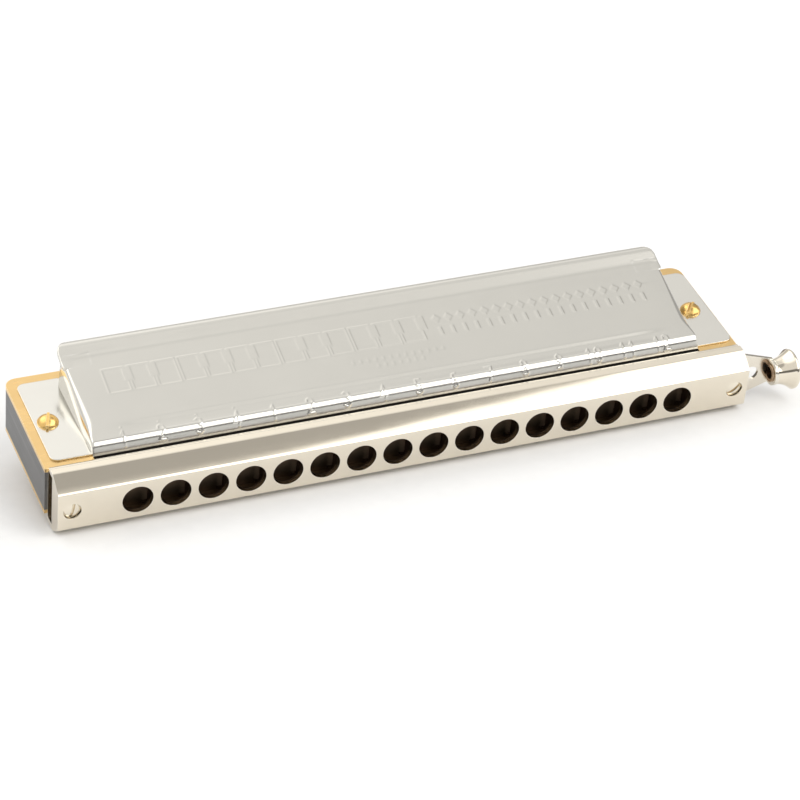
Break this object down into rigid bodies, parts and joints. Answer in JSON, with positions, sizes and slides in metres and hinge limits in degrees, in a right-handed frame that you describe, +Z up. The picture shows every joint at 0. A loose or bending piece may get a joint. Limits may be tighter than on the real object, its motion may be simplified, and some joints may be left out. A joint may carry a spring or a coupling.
{
  "type": "chromatic harmonica",
  "caption": "Long chromatic harmonica with round blow holes in a bevelled nickel mouthpiece, domed chrome covers, brass reed plates and a sprung slide worked by an end button.",
  "frame": {"origin": "centre of the mouthpiece's flat front face, midway between the two middle holes", "axes": "+X along the length towards the button, +Y from the mouth side to the open back, +Z up through the upper cover"},
  "size_m": [0.198, 0.0459, 0.0342],
  "materials": {
    "mouthpiece_nickel": "polished nickel plate",
    "slide_nickel": "nickel plate",
    "cover_chrome": "bright pressed sheet",
    "reed_plate_brass": "rolled brass",
    "reed_brass": "milled brass",
    "screw_brass": "turned brass",
    "rivet_steel": "plain",
    "spring_steel": "drawn wire",
    "rivet_bronze": "dulled",
    "comb_black": "moulded",
    "bed_plate_grey": "moulded",
    "valve_film": "film",
    "sleeve_rubber": "soft"
  },
  "bodies": {
    "instrument": {"mouthpiece": "mouthpiece_nickel", "slide_channel": "slide_nickel", "slide_bed_plate": "bed_plate_grey", "bumper_sleeves": "sleeve_rubber", "mouthpiece_screws": "mouthpiece_nickel", "comb": "comb_black", "upper_reed_plate": "reed_plate_brass", "lower_reed_plate": "reed_plate_brass", "upper_blow_reeds": "reed_brass", "upper_draw_reeds": "reed_brass", "lower_blow_reeds": "reed_brass", "lower_draw_reeds": "reed_brass", "upper_reed_rivets": "rivet_steel", "lower_reed_rivets": "rivet_steel", "upper_valves": "valve_film", "lower_valves": "valve_film", "upper_plate_screws": "screw_brass", "lower_plate_screws": "screw_brass", "upper_cover": "cover_chrome", "lower_cover": "cover_chrome", "upper_cover_screws": "screw_brass", "lower_cover_screws": "screw_brass"},
    "slide_and_button": {"slide": "slide_nickel", "button": "mouthpiece_nickel", "button_rivet": "rivet_bronze"},
    "return_spring": {"slide_spring": "spring_steel"}
  },
  "joints": [
    {"name": "button_press", "type": "slide", "parent": "instrument", "child": "slide_and_button", "axis": [-1, 0, 0], "range_m": [0, 0.00475], "stiffness_N_per_m": 250, "springref_m": -0.003},
    {"name": "spring_swing", "type": "hinge", "parent": "instrument", "child": "return_spring", "pos_m": [-0.0806, 0.017, 0], "axis": [0, 0, 1], "range_deg": [-23.2, 0]}
  ],
  "couplings": [
    {"joint": "spring_swing", "follows": "button_press", "rad_per_m": -85.03}
  ]
}
